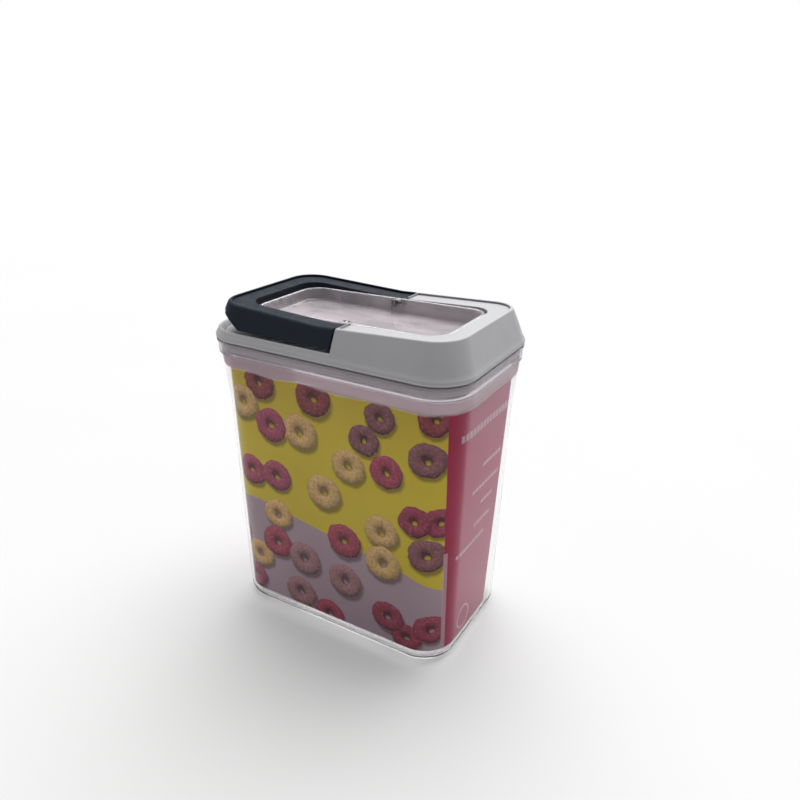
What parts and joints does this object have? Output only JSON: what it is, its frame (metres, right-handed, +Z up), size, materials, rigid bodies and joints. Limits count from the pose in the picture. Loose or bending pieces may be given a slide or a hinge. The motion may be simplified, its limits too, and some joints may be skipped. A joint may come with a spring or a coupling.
{
  "type": "cereal dispenser",
  "caption": "Tall clear rectangular container for dry food with an airtight press-down lid, a dark flip lever, a clear window tub in the lid and a printed card inside.",
  "frame": {"origin": "centre of the footprint, on the plane that the container stands on", "axes": "+X right along the length, with the lever's free end at -X; +Y to the back; +Z up"},
  "size_m": [0.2, 0.1268, 0.2412],
  "materials": {
    "clear_body": "clear gloss plastic",
    "clear_tub": "clear gloss plastic",
    "frame_grey": "satin",
    "lever_navy": "satin",
    "silicone": "translucent satin",
    "retainer_white": "satin",
    "pin_steel": "ground",
    "card_print": "printed card"
  },
  "bodies": {
    "container": {"container": "clear_body", "insert_card": "card_print"},
    "lid": {"lid_frame": "frame_grey"},
    "plate": {"press_tub": "clear_tub", "gasket": "silicone", "gasket_retainer": "retainer_white", "pivot_pin_rear": "pin_steel", "pivot_pin_front": "pin_steel", "pin_cap_rear": "clear_tub", "pin_cap_front": "clear_tub"},
    "lever": {"flip_lever": "lever_navy"}
  },
  "joints": [
    {"name": "lid_lift", "type": "slide", "parent": "container", "child": "lid", "axis": [0, 0, 1], "range_m": [0, 0.06]},
    {"name": "plate_drop", "type": "slide", "parent": "lid", "child": "plate", "axis": [0, 0, 1], "range_m": [-0.0021, 0]},
    {"name": "lever_flip", "type": "hinge", "parent": "plate", "child": "lever", "pos_m": [0.0031, 0, 0.2335], "axis": [0, 1, 0], "range_deg": [0, 90]}
  ],
  "couplings": [
    {"joint": "plate_drop", "follows": "lever_flip", "m_per_rad": -0.0012732}
  ]
}
